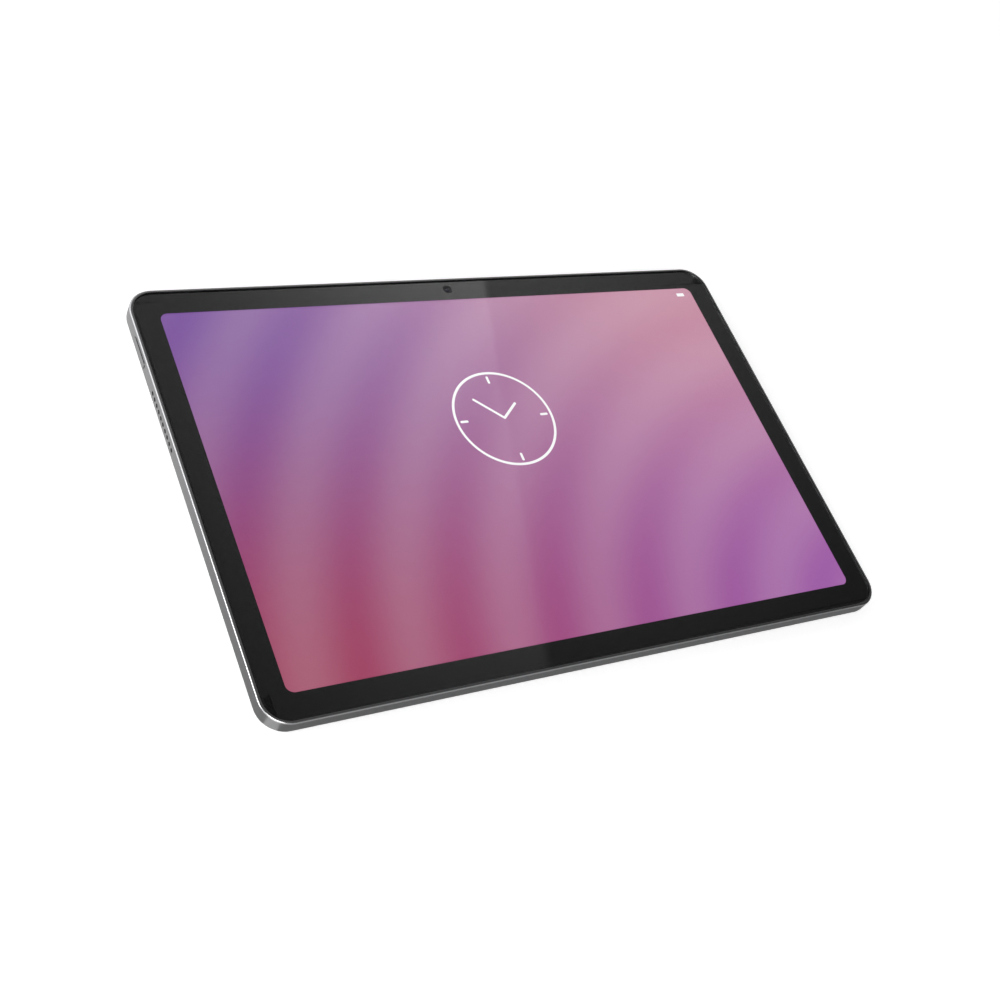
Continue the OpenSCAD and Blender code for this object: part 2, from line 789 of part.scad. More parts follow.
module volume_switch() {
    color(bright_colour) {
        block([volume_x - volume_l / 2, top_y - bracket_at, key_z - 1.4],
              [volume_x + volume_l / 2, top_y - contact_at, key_z + 1.4]);
        for (s = [-1, 1]) {
            bar_y([volume_x + s * volume_nub, top_y - contact_at, key_z], dome_r * 0.6, dome_t);
            bar_y([volume_x + s * volume_nub, top_y - contact_at, key_z], dome_r, dome_t / 2);
        }
    }
}

module volume_bracket() {
    color("silver") translate([volume_x, top_y, 0]) rotate(-90) key_bracket(volume_l / 2 + 1);
}

module key_flex() {
    x0 = -side_x + bracket_at + 3;
    y1 = top_y - 9.5;
    color(film_colour) {
        block([x0, power_y - 3, back_t], [x0 + 2, y1, back_t + flex_t]);
        block([x0, y1 - 2.5, back_t], [-window_l / 2 - 2.2, y1, back_t + flex_t]);
        block([volume_x - 1, y1 - 2.5, back_t], [volume_x + 1, top_y - bracket_at - 2.5, back_t + flex_t]);
    }
}

module card_tray() {
    y1 = body_w / 2;
    color(shell_colour) difference() {
        union() {
            pill_y(tray_x, y1, tray_z, tray_w, tray_h, wall_t);
            block([tray_x + blade_x0, tail_y, tray_z - blade_t / 2],
                  [tray_x + blade_x1, y1 - wall_t, tray_z + blade_t / 2]);
        }
        block([tray_x + blade_x0 + 0.8, tail_y + 1, tray_z - 0.15],
              [tray_x + blade_x1 - 0.8, tail_y + 16.2, tray_z + 1]);
        bar_y([tray_x + pin_x, y1 - wall_t - 0.5, tray_z], pin_r, 4);
    }
}

module card_socket() {
    x0 = tray_x + blade_x0 - 0.8;
    x1 = tray_x + pin_x + rod_w;
    y0 = lever_y - 1.6;
    y1 = body_w / 2 - 3.4;
    t = 0.2;
    color("silver") {
        difference() {
            block([x0, y0, deck_z], [x1 + t, y1, frame_z - 0.1]);
            block([x0 + t, y0 - 1, deck_z + t], [x1, y1 + 1, frame_z - 0.1 - t]);
            block([tray_x + blade_x0 + 2, tail_y + 4, frame_z - 1], [tray_x + blade_x1 - 2, y1 - 3, body_t]);
        }
        translate([tray_x + lever_pivot_x, lever_y, deck_z + t])
            cylinder(r = lever_pin_r, h = frame_z - 0.1 - deck_z - 2 * t);
    }
}

module eject_rod() {
    x = tray_x + pin_x;
    color("silver") block([x - rod_w / 2, tail_y - 0.1, tray_z - rod_w / 2],
                          [x + rod_w / 2, body_w / 2 - wall_t - 1.2, tray_z + rod_w / 2]);
}

module eject_lever() {
    color("silver") difference() {
        block([tray_x - 4, lever_y - lever_w / 2, tray_z - 0.3],
              [tray_x + pin_x + 0.4, lever_y + lever_w / 2, tray_z + 0.3]);
        translate([tray_x + lever_pivot_x, lever_y, 0]) cylinder(r = lever_bore_r, h = body_t);
    }
}

module rear_camera() {
    color(dark_colour) {
        block([rear_x - 4, rear_y - 4, 1.2], [rear_x + 4, rear_y + 4, frame_z - 0.1]);
        translate([rear_x, rear_y, 0.75]) cylinder(r = 2.6, h = 0.45);
    }
}

module rear_camera_ring() {
    color(bright_colour) translate([rear_x, rear_y, 0]) difference() {
        cylinder(r = rear_r, h = 1.2);
        translate([0, 0, -1]) cylinder(r = rear_glass_r - 0.4, h = 4);
        translate([0, 0, -1]) cylinder(r = rear_glass_r + 0.05, h = 1.7);
    }
}

module rear_camera_glass() {
    color([0.05, 0.05, 0.07]) translate([rear_x, rear_y, 0.15]) cylinder(r = rear_glass_r, h = 0.55);
}

module wifi_antenna() {
    color([0.2, 0.2, 0.2])
        block([aerial_x0, aerial_y - 2.5, back_t + 0.15],
              [aerial_x0 + aerial_l, aerial_y + 2.5, back_t + 2]);
}

module antenna_cable() {
    z = back_t + 2;
    y0 = aerial_y - 4;
    x1 = board_x0 + 8;
    color(dark_colour) {
        block([aerial_x0 + aerial_l - 4, y0, z - 0.9], [aerial_x0 + aerial_l - 3.2, aerial_y - 2.5, z]);
        block([aerial_x0 + aerial_l - 4, y0 - 0.8, z - 0.9], [board_x0 - 1, y0, z]);
        block([board_x0 - 1.8, y0 - 0.8, z - 0.9], [board_x0 - 1, y0, deck_z + 0.8]);
        block([board_x0 - 1.8, y0 - 0.8, deck_z], [x1, y0, deck_z + 0.8]);
    }
}

rear_cover();
antenna_window();
mid_frame();
frame_screws();
cover_glass();
border_print();
display_adhesive();
touch_sensor();
lcd_cell();
diffuser_films();
light_guide();
led_strip();
reflector_sheet();
backlight_tray();
display_flex();
touch_flex();
front_camera();
front_camera_lens();
battery_cells();
battery_adhesive();
battery_board();
battery_cable();
main_board();
board_chips();
processor_shield();
power_shield();
radio_shield();
graphite_pad();
board_connectors();
board_screws();
sub_board();
link_flex();
usb_shell();
usb_tongue();
usb_contacts();
usb_seal();
headphone_jack();
jack_contacts();
left_speaker();
right_speaker();
speaker_meshes();
microphone();
microphone_seal();
power_button();
power_switch();
power_bracket();
volume_rocker();
volume_switch();
volume_bracket();
key_flex();
card_tray();
card_socket();
eject_rod();
eject_lever();
rear_camera();
rear_camera_ring();
rear_camera_glass();
wifi_antenna();
antenna_cable();
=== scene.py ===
"""A tablet computer: glass, lit screen, metal casing and everything inside, around its CAD frame."""

import math

import bmesh
import bpy
from bpy.props import FloatProperty, FloatVectorProperty, PointerProperty
from bpy.types import Operator, Panel, PropertyGroup
from mathutils import Matrix, Vector


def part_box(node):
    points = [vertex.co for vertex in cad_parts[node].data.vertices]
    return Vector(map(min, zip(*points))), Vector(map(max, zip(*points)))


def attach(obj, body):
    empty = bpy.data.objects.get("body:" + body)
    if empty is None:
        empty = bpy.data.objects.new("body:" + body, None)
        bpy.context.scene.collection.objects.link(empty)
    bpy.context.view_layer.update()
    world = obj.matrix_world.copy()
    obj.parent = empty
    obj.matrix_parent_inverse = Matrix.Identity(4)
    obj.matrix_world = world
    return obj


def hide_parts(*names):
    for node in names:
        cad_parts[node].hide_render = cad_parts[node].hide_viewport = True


bl_info = {
    "name": "Tablet Computer",
    "version": (1, 0, 0),
    "blender": (4, 5, 0),
    "location": "View3D > Sidebar > Tablet",
    "description": "Builds the glass, lit screen, metal casing and inner parts of a tablet computer",
    "category": "Object",
}

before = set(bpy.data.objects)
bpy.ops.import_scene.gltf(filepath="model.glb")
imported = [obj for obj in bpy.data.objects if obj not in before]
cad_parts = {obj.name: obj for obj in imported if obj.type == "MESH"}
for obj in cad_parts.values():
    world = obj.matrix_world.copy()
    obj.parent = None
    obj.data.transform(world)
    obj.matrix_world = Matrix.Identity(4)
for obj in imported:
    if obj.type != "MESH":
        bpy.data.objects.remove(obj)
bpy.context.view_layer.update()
MM = 0.001
TURN = 2 * math.pi
GLASS_SHINE = 0.55       # specular level of the flat of the glass, on the border behind it
PICTURE_SHINE = 0.47     # and on the lit picture
SMOOTH_BELOW = math.radians(35)
GLASS_LOW, GLASS_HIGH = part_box("cover_glass")
CASE_LOW, CASE_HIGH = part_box("rear_cover")
CELL_LOW, CELL_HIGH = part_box("lcd_cell")


# ---------------------------------------------------------------- settings

def length(name, description, default, low=0.0, high=1.0):
    return FloatProperty(name=name, description=description, default=default, min=low, max=high,
                         unit="LENGTH", precision=5)


def colour(name, description, default):
    return FloatVectorProperty(name=name, description=description, default=default, size=3,
                               subtype="COLOR", min=0.0, max=1.0)


class TabletCasingSettings(PropertyGroup):
    metal: colour("Metal", "Anodised metal of the casing", (0.30, 0.30, 0.305))
    window: colour("Radio window", "Painted plastic strip in the back", (0.17, 0.17, 0.175))
    grain: length("Grain", "Size of the blasted grain", 0.00025, 0.00005, 0.002)


class TabletGlassSettings(PropertyGroup):
    corner: length("Corner", "Corner radius of the cover glass", 0.0079, 0.002, 0.02)
    edge: length("Edge", "Radius of the polished edge of the glass", 0.00035, 0.0001, 0.0006)
    ink: colour("Ink", "Printed border behind the glass", (0.0035, 0.0035, 0.0036))


class TabletScreenSettings(PropertyGroup):
    glow: FloatProperty(name="Glow", description="Brightness of the lit picture", default=1.0, min=0, max=5)
    ring_pitch: length("Ring pitch", "Distance between the faint rings", 0.034, 0.005, 0.1)
    upper_left: colour("Upper left", "Colour of the upper left corner", (0.20, 0.09, 0.34))
    upper_right: colour("Upper right", "Colour of the upper right corner", (0.56, 0.27, 0.36))
    lower_left: colour("Lower left", "Colour of the lower left corner", (0.34, 0.05, 0.11))
    lower_right: colour("Lower right", "Colour of the lower right corner", (0.34, 0.11, 0.38))
    mist: colour("Mist", "Light of the faint rings", (0.72, 0.52, 0.62))


class TabletStageSettings(PropertyGroup):
    lens: FloatProperty(name="Lens", description="Focal length of the camera", default=52.03, min=20, max=200)
    floor: colour("Floor", "Plain pale floor", (0.86, 0.86, 0.86))
    key_power: FloatProperty(name="Key light", description="Power of the large soft lamp", default=16.0,
                             min=0, max=500, subtype="POWER", unit="POWER")
    fill_power: FloatProperty(name="Fill light", description="Power of the lamp on the left", default=4.0,
                              min=0, max=500, subtype="POWER", unit="POWER")


# ---------------------------------------------------------------- shader sums

class Value:
    """A socket in a node tree, so that shader maths reads as plain sums."""

    def __init__(self, net, socket):
        self.net = net
        self.socket = socket

    def math(self, operation, *others):
        return self.net.math(operation, self, *others)

    def __add__(self, other):
        return self.net.math("ADD", self, other)

    def __radd__(self, other):
        return self.net.math("ADD", other, self)

    def __sub__(self, other):
        return self.net.math("SUBTRACT", self, other)

    def __rsub__(self, other):
        return self.net.math("SUBTRACT", other, self)

    def __mul__(self, other):
        return self.net.math("MULTIPLY", self, other)

    def __rmul__(self, other):
        return self.net.math("MULTIPLY", other, self)

    def __truediv__(self, other):
        return self.net.math("DIVIDE", self, other)

    def __abs__(self):
        return self.net.math("ABSOLUTE", self)


class Net:
    """The node tree of a new material, or of the world."""

    def __init__(self, name, world=None):
        self.material = world or bpy.data.materials.new(name)
        self.material.use_nodes = True
        self.tree = self.material.node_tree
        self.tree.nodes.clear()
        self.output = self.tree.nodes.new("ShaderNodeOutputWorld" if world else "ShaderNodeOutputMaterial")
        self.place = None

    def node(self, kind, settings=None, inputs=None):
        """A node of that kind, its settings made first, then its sockets set or linked."""
        made = self.tree.nodes.new(kind)
        for key, value in (settings or {}).items():
            setattr(made, key, value)
        for key, value in (inputs or {}).items():
            self.feed(made.inputs[key], value)
        return made

    def feed(self, socket, value):
        if isinstance(value, Value):
            self.tree.links.new(value.socket, socket)
        else:
            socket.default_value = value

    def out(self, node, name=0):
        return Value(self, node.outputs[name])

    def math(self, operation, *values):
        return self.out(self.node("ShaderNodeMath", {"operation": operation}, dict(enumerate(values))))

    def position(self):
        """The place on the surface, in the tablet's own frame, in millimetres."""
        if self.place is None:
            here = self.out(self.node("ShaderNodeTexCoord"), "Object")
            split = self.node("ShaderNodeSeparateXYZ", inputs={0: here})
            self.place = [self.out(split, axis) * (1 / MM) for axis in "XYZ"]
        return self.place

    def step(self, low, high, value):
        """0 below low, 1 above high and a smooth slope between them."""
        settings = {"interpolation_type": "SMOOTHSTEP"}
        return self.out(self.node("ShaderNodeMapRange", settings, {0: value, 1: low, 2: high}))

    def mix(self, share, first, second):
        """Two colours, mixed by share."""
        inputs = {0: share, 6: opaque(first), 7: opaque(second)}
        return self.out(self.node("ShaderNodeMix", {"data_type": "RGBA"}, inputs), 2)

    def noise(self, size, detail=2.0, stretch=(1, 1, 1)):
        """Noise of about that size in metres, stretched along the axes."""
        here = self.out(self.node("ShaderNodeTexCoord"), "Object")
        scale = tuple(1 / (size * along) for along in stretch)
        scaled = self.node("ShaderNodeMapping", inputs={0: here, 3: scale})
        inputs = {0: self.out(scaled), "Scale": 1.0, "Detail": detail}
        return self.out(self.node("ShaderNodeTexNoise", inputs=inputs), 0)

    def bump(self, height, depth):
        """A surface raised by height, which runs from 0 to 1, times depth in metres."""
        return self.out(self.node("ShaderNodeBump", inputs={"Height": height, "Distance": depth}))

    def surface(self, **sockets):
        """The material's shader. Names are the sockets', with _ for a space."""
        inputs = {name.replace("_", " "): value for name, value in sockets.items()}
        for name in ("Base Color", "Emission Color"):
            if name in inputs:
                inputs[name] = opaque(inputs[name])
        shader = self.node("ShaderNodeBsdfPrincipled", inputs=inputs)
        self.tree.links.new(shader.outputs[0], self.output.inputs[0])
        return self.material


def opaque(rgb):
    """A colour with its alpha, or a link left alone."""
    return rgb if isinstance(rgb, Value) else (*tuple(rgb)[:3], 1.0)


# ---------------------------------------------------------------- finishes

def blasted_metal(name, rgb, grain, metallic=1.0, rough=0.36, rim=None):
    """Anodised metal with a fine blasted grain; above the rim's height, a painted highlight where it curves
    over and painted shade on its flat top.
    """
    net = Net(name)
    grit = net.noise(grain, detail=3.0)
    cloud = net.noise(18 * MM, detail=3.0)
    shade = net.mix(net.step(0.3, 0.7, cloud), [c * 0.985 for c in rgb], [c * 1.015 for c in rgb])
    speck = net.mix(net.step(0.35, 0.65, grit) * 0.18, shade, [c * 1.5 for c in rgb])
    texture = rough + (grit - 0.5) * 0.12 + (cloud - 0.5) * 0.02
    depth = 0.006 * MM
    if rim:
        normal = net.out(net.node("ShaderNodeNewGeometry"), "Normal")
        tilt = net.step(0.998, 0.96, net.out(net.node("ShaderNodeSeparateXYZ", inputs={0: normal}), "Z"))
        high = net.step(rim - 0.05, rim + 0.05, net.position()[2])
        painted_highlight = high * tilt
        # painted highlight: lighter metal where the rim curves over above its height
        speck = net.mix(painted_highlight, speck, (0.52, 0.52, 0.53))
        # painted shade of the gap beside the glass: the flat top of the rim is made darker
        speck = net.mix(high * (1 - tilt) * 0.6, speck, (0.10, 0.10, 0.10))
        texture = texture - painted_highlight * 0.12
    return net.surface(Base_Color=speck, Metallic=metallic, Roughness=texture, Normal=net.bump(grit, depth))


def brushed_metal(name, rgb, stretch, rough=0.3):
    """Metal brushed along one axis."""
    net = Net(name)
    lines = net.noise(0.12 * MM, detail=4.0, stretch=stretch)
    shade = net.mix(lines, [c * 0.8 for c in rgb], [c * 1.15 for c in rgb])
    return net.surface(Base_Color=shade, Metallic=1.0, Roughness=rough + (lines - 0.5) * 0.25,
                       Normal=net.bump(lines, 0.004 * MM))


def moulded(name, rgb, grain=0.3 * MM, rough=0.5, depth=0.01 * MM):
    """Moulded plastic or rubber with a fine texture."""
    net = Net(name)
    grit = net.noise(grain, detail=2.0)
    cloud = net.noise(6 * MM, detail=2.0)
    shade = net.mix(cloud, [c * 0.85 for c in rgb], [c * 1.12 for c in rgb])
    return net.surface(Base_Color=shade, Roughness=rough + (grit - 0.5) * 0.2,
                       Normal=net.bump(grit, depth))


def clear_film(name, tint):
    """A bonded pane: it shows what lies behind it, which carries the shine of its flat."""
    net = Net(name)
    smudge = net.noise(30 * MM, detail=2.0)
    through = net.node("ShaderNodeBsdfTransparent", inputs={0: opaque(tint)})
    haze = net.node("ShaderNodeBsdfPrincipled", inputs={"Base Color": (0.5, 0.5, 0.5, 1), "Roughness": 0.3})
    share = net.step(0.5, 0.9, smudge) * 0.002
    both = net.node("ShaderNodeMixShader", inputs={0: share, 1: net.out(through), 2: net.out(haze)})
    net.tree.links.new(both.outputs[0], net.output.inputs[0])
    return net.material


def printed_ink(name, rgb):
    """Black ink bonded to the glass, so that it has the shine of the glass."""
    net = Net(name)
    grit = net.noise(0.2 * MM, detail=1.0)
    shade = net.mix(grit, [c * 0.8 for c in rgb], [c * 1.2 for c in rgb])
    return net.surface(Base_Color=shade, Roughness=0.010 + grit * 0.006,
                       Specular_IOR_Level=GLASS_SHINE)


def circuit_board(name, rgb, track):
    """Solder mask over tracks, with bare pads."""
    net = Net(name)
    x, y, _ = net.position()
    lanes = net.out(net.node("ShaderNodeTexVoronoi", {"distance": "MANHATTAN"}, {"Scale": 260.0}))
    swing = (y * 0.9).math("SINE") + (x * 2.7).math("SINE")
    wires = net.step(0.42, 0.46, swing * 0.25 + lanes * 0.5)
    shade = net.mix(wires, rgb, track)
    return net.surface(Base_Color=shade, Roughness=0.35 + wires * 0.12, Coat_Weight=0.4,
                       Normal=net.bump(wires, 0.03 * MM))


def woven_mesh(name, rgb):
    """A fine woven dust mesh."""
    net = Net(name)
    _, y, z = net.position()
    pitch = 0.22
    weave = (y * (TURN / pitch)).math("SINE") * (z * (TURN / pitch)).math("SINE")
    threads = net.step(-0.2, 0.5, weave)
    shade = net.mix(threads, [c * 0.25 for c in rgb], rgb)
    return net.surface(Base_Color=shade, Roughness=0.55 + threads * 0.2, Normal=net.bump(threads, 0.05 * MM))


# ---------------------------------------------------------------- the lit picture

def distance_to_line(x, y, start, end):
    """Distance in the plane to the stretch from start to end."""
    run = Vector(end) - Vector(start)
    along = (x - start[0]) * (run.x / run.length_squared) + (y - start[1]) * (run.y / run.length_squared)
    share = along.math("MAXIMUM", 0.0).math("MINIMUM", 1.0)
    return hypot(x - start[0] - share * run.x, y - start[1] - share * run.y)


def hypot(a, b):
    return (a * a + b * b).math("SQRT")


def nearest(*distances):
    best = distances[0]
    for distance in distances[1:]:
        best = best.math("MINIMUM", distance)
    return best


def stroke(net, distance, width):
    """1 within half the width of the line, with a soft edge."""
    return 1 - net.step(width / 2 - 0.07, width / 2 + 0.07, distance)


def box_mask(net, x, y, centre, half_x, half_y, corner=0.0):
    """1 inside a rectangle with round corners."""
    out_x = (abs(x - centre[0]) - (half_x - corner)).math("MAXIMUM", 0.0)
    out_y = (abs(y - centre[1]) - (half_y - corner)).math("MAXIMUM", 0.0)
    return 1 - net.step(corner - 0.06, corner + 0.08, hypot(out_x, out_y))


def dial_mask(net, x, y):
    """A plain round clock: a ring, four marks and two hands."""
    centre, radius = Vector((0.0, 16.0)), 19.0
    mark_start, mark_end = radius - 4.0, radius - 1.8
    lines = [abs(hypot(x - centre.x, y - centre.y) - radius)]
    for quarter in range(4):
        way = Vector((math.cos(quarter * TURN / 4), math.sin(quarter * TURN / 4)))
        lines.append(distance_to_line(x, y, centre + way * mark_start, centre + way * mark_end))
    for hand in (Vector((6.5, 5.5)), Vector((-9.0, 8.5))):
        lines.append(distance_to_line(x, y, centre, centre + hand))
    return stroke(net, nearest(*lines), 0.95)


def cell_mask(net, x, y):
    """A small full cell in the upper right corner."""
    return box_mask(net, x, y, (103.0, 64.8), 1.75, 0.75, 0.25)


def screen_picture(name, settings):
    """A plain blend between four corner colours, with faint broad rings, a dial and a cell."""
    net = Net(name)
    x, y, _ = net.position()
    half_x, half_y = CELL_HIGH[0] / MM, CELL_HIGH[1] / MM
    right = net.step(-half_x, half_x, x)
    upper = net.mix(right, settings.upper_left, settings.upper_right)
    lower = net.mix(right, settings.lower_left, settings.lower_right)
    picture = net.mix(net.step(-half_y, half_y, y), lower, upper)
    # rings about a point past the lower right corner
    from_point = hypot(x - half_x * 1.3, y + half_y * 1.5)
    rings = (from_point * (TURN * MM / settings.ring_pitch)).math("SINE") * 0.5 + 0.5
    picture = net.mix(rings * 0.14, picture, settings.mist)
    marks = dial_mask(net, x, y).math("MAXIMUM", cell_mask(net, x, y))
    picture = net.mix(marks, picture, (0.96, 0.96, 0.97))
    return net.surface(Base_Color=(0.003, 0.003, 0.003), Roughness=0.012, Specular_IOR_Level=PICTURE_SHINE,
                       Emission_Color=picture, Emission_Strength=settings.glow)


# ---------------------------------------------------------------- pieces

def paint(material, *nodes, rounded=True):
    """Gives CAD nodes a finish, and smooth shading where they are rounded."""
    for name in nodes:
        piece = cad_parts[name]
        piece.data.materials.clear()
        piece.data.materials.append(material)
        if rounded:
            smooth(piece)


def smooth(piece):
    """Smooth shading that stops at sharp edges."""
    for face in piece.data.polygons:
        face.use_smooth = True
    weld = piece.modifiers.new("weld", "WELD")
    weld.merge_threshold = 1e-6
    split = piece.modifiers.new("edges", "EDGE_SPLIT")
    split.split_angle = SMOOTH_BELOW
    split.use_edge_sharp = False


def new_piece(name, work, material, body):
    """A bmesh made into a finished piece that rides on a body."""
    bmesh.ops.remove_doubles(work, verts=work.verts, dist=1e-7)
    bmesh.ops.recalc_face_normals(work, faces=work.faces)
    mesh = bpy.data.meshes.new(name)
    work.to_mesh(mesh)
    work.free()
    piece = bpy.data.objects.new(name, mesh)
    bpy.context.scene.collection.objects.link(piece)
    mesh.materials.append(material)
    smooth(piece)
    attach(piece, body)
    return piece


def bevel(work, edges, offset, segments):
    bmesh.ops.bevel(work, geom=edges, offset=offset, segments=segments, profile=0.5,
                    affect="EDGES", material=-1, clamp_overlap=True)


def rounded_plate(low, high, corner, top_edge, corner_steps=20, edge_steps=5):
    """A plate with round corners whose upper edge is rounded too."""
    work = bmesh.new()
    size = high - low
    place = Matrix.Translation((low + high) / 2) @ Matrix.Diagonal((*size, 1))
    bmesh.ops.create_cube(work, size=1.0, matrix=place)
    upright = [e for e in work.edges if abs((e.verts[0].co - e.verts[1].co).normalized().z) > 0.9]
    bevel(work, upright, corner, corner_steps)
    top = [e for e in work.edges if all(v.co.z > high.z - 1e-7 for v in e.verts)]
    bevel(work, top, top_edge, edge_steps)
    return work


def spun(profile, centre, steps=48):
    """A round piece from its half outline, given as (radius, height) pairs, turned about an upright axis."""
    work = bmesh.new()
    rim = [work.verts.new((centre[0] + radius, centre[1], height)) for radius, height in profile]
    lines = [work.edges.new(pair) for pair in zip(rim, rim[1:])]
    bmesh.ops.spin(work, geom=[*rim, *lines], cent=(*centre, 0), axis=(0, 0, 1), angle=TURN,
                   steps=steps, use_merge=True)
    return work


class TabletCasing(Operator):
    """Finish the metal casing and the plastic strip in its back"""
    bl_idname = "tablet.casing"
    bl_label = "Casing"

    def execute(self, context):
        chosen = context.scene.tablet_casing
        rim = CASE_HIGH[2] / MM - 0.55
        paint(blasted_metal("casing_metal", chosen.metal, chosen.grain, rim=rim), "rear_cover")
        paint(moulded("window_paint", chosen.window, grain=0.25 * MM, rough=0.48, depth=0.006 * MM),
              "antenna_window")
        return {"FINISHED"}


class TabletGlass(Operator):
    """Make the cover glass with its polished edge, and finish the print and films behind it"""
    bl_idname = "tablet.glass"
    bl_label = "Cover glass"

    def execute(self, context):
        chosen = context.scene.tablet_glass
        work = rounded_plate(Vector(GLASS_LOW), Vector(GLASS_HIGH), chosen.corner, chosen.edge)
        pane = new_piece("glass_pane", work, clear_film("clear_glass", (1, 1, 1)), "tablet")
        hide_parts("cover_glass")
        paint(printed_ink("border_ink", chosen.ink), "border_print", rounded=False)
        paint(clear_film("touch_film", (0.98, 0.98, 0.98)), "touch_sensor", rounded=False)
        paint(moulded("black_tape", (0.01, 0.01, 0.01), rough=0.8), "display_adhesive")
        return {"FINISHED"}


class TabletScreen(Operator):
    """Light the screen with its picture"""
    bl_idname = "tablet.screen"
    bl_label = "Screen"

    def execute(self, context):
        paint(screen_picture("lit_picture", context.scene.tablet_screen), "lcd_cell", rounded=False)
        paint(moulded("white_film", (0.75, 0.75, 0.76), rough=0.4), "diffuser_films", "reflector_sheet")
        paint(moulded("acrylic", (0.62, 0.70, 0.72), grain=1.5 * MM, rough=0.12), "light_guide")
        paint(moulded("lamp_strip", (0.62, 0.55, 0.24), rough=0.4), "led_strip")
        return {"FINISHED"}


class TabletKeys(Operator):
    """Finish the power button, the volume rocker and their switches"""
    bl_idname = "tablet.keys"
    bl_label = "Keys"

    def execute(self, context):
        metal = context.scene.tablet_casing.metal
        paint(brushed_metal("power_key_metal", metal, (1, 30, 1)), "power_button")
        paint(brushed_metal("volume_key_metal", metal, (30, 1, 1)), "volume_rocker")
        paint(brushed_metal("gilt_contact", (0.75, 0.52, 0.22), (4, 4, 1)), "power_switch", "volume_switch")
        return {"FINISHED"}


class TabletSockets(Operator):
    """Finish the charging socket, the headphone bore, the card tray and the grilles"""
    bl_idname = "tablet.sockets"
    bl_label = "Sockets and grilles"

    def execute(self, context):
        metal = context.scene.tablet_casing.metal
        paint(brushed_metal("tray_metal", metal, (30, 1, 1)), "card_tray")
        paint(brushed_metal("socket_steel", (0.52, 0.52, 0.53), (12, 1, 1), 0.25), "usb_shell")
        paint(moulded("socket_black", (0.012, 0.012, 0.013), rough=0.42), "usb_tongue", "headphone_jack")
        paint(brushed_metal("gilt_pin", (0.80, 0.56, 0.24), (8, 1, 1), 0.2), "usb_contacts", "jack_contacts")
        paint(moulded("soft_rubber", (0.015, 0.015, 0.015), rough=0.75), "usb_seal", "microphone_seal",
              "antenna_cable")
        paint(woven_mesh("dust_mesh", (0.05, 0.05, 0.052)), "speaker_meshes")
        paint(moulded("speaker_box", (0.02, 0.02, 0.022), rough=0.5), "left_speaker", "right_speaker",
              "wifi_antenna")
        paint(brushed_metal("microphone_can", (0.70, 0.54, 0.28), (1, 6, 1)), "microphone")
        return {"FINISHED"}


class TabletCameras(Operator):
    """Finish both cameras"""
    bl_idname = "tablet.cameras"
    bl_label = "Cameras"

    def execute(self, context):
        paint(moulded("camera_black", (0.008, 0.008, 0.009), rough=0.35), "front_camera", "rear_camera")
        paint(lens_coating("lens_coating"), "front_camera_lens", "rear_camera_glass")
        black = moulded("funnel_black", (0.016, 0.016, 0.018), grain=0.1 * MM, rough=0.5)
        new_piece("camera_funnel", camera_funnel(), black, "tablet")
        paint(brushed_metal("ring_metal", (0.42, 0.42, 0.43), (1, 1, 8), 0.18), "rear_camera_ring")
        return {"FINISHED"}


def camera_funnel():
    """A flange against the glass and a funnel down to the front lens."""
    lens_low, lens_high = (Vector(corner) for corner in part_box("front_camera_lens"))
    flange, mouth, throat, wall = 1.80, 1.38, 1.05, 1.36
    film, slope, foot = 0.004, -0.16, -0.20
    steps = [(flange, film), (mouth, film), (throat, slope), (throat, foot), (wall, foot), (wall, 0.0),
             (flange, 0.0), (flange, film)]
    outline = [(radius * MM, GLASS_LOW[2] + height * MM) for radius, height in steps]
    return spun(outline, ((lens_low + lens_high) / 2).xy)


def lens_coating(name):
    """Dark coated glass with a faint purple sheen painted towards grazing angles."""
    net = Net(name)
    facing = net.out(net.node("ShaderNodeLayerWeight", inputs={"Blend": 0.35}), "Facing")
    cloud = net.noise(2 * MM, detail=1.0)
    # painted sheen: the colour turns purple towards grazing angles, with a little random tone
    shade = net.mix(facing * 0.6 + cloud * 0.2, (0.010, 0.010, 0.018), (0.08, 0.05, 0.13))
    return net.surface(Base_Color=shade, Roughness=0.05, Coat_Weight=1.0, Coat_Roughness=0.02)


class TabletInside(Operator):
    """Finish the frames, boards, battery, screws and flat cables inside"""
    bl_idname = "tablet.inside"
    bl_label = "Inside"

    def execute(self, context):
        paint(blasted_metal("cast_frame", (0.45, 0.45, 0.46), 0.6 * MM, rough=0.5), "mid_frame")
        paint(brushed_metal("sheet_steel", (0.50, 0.50, 0.51), (10, 1, 1)), "backlight_tray", "card_socket",
              "processor_shield", "power_shield", "radio_shield", "power_bracket", "volume_bracket",
              "eject_rod", "eject_lever")
        paint(brushed_metal("zinc_screw", (0.55, 0.55, 0.56), (1, 1, 6)), "frame_screws", "board_screws")
        paint(circuit_board("solder_mask", (0.006, 0.05, 0.03), (0.02, 0.12, 0.07)), "main_board", "sub_board",
              "battery_board")
        paint(moulded("chip_resin", (0.02, 0.02, 0.022), rough=0.5), "board_chips")
        paint(moulded("graphite", (0.05, 0.05, 0.055), rough=0.35), "graphite_pad")
        paint(moulded("ivory_nylon", (0.55, 0.52, 0.42), rough=0.45), "board_connectors")
        pouch = blasted_metal("pouch_foil", (0.12, 0.12, 0.13), 1.2 * MM, metallic=0.7, rough=0.45)
        paint(pouch, "battery_cells")
        paint(moulded("stretch_tape", (0.6, 0.6, 0.58), rough=0.6), "battery_adhesive")
        paint(moulded("red_wire", (0.30, 0.015, 0.012), rough=0.45), "battery_cable")
        amber = circuit_board("amber_film", (0.24, 0.09, 0.015), (0.36, 0.16, 0.03))
        paint(amber, "display_flex", "touch_flex", "link_flex", "key_flex")
        return {"FINISHED"}


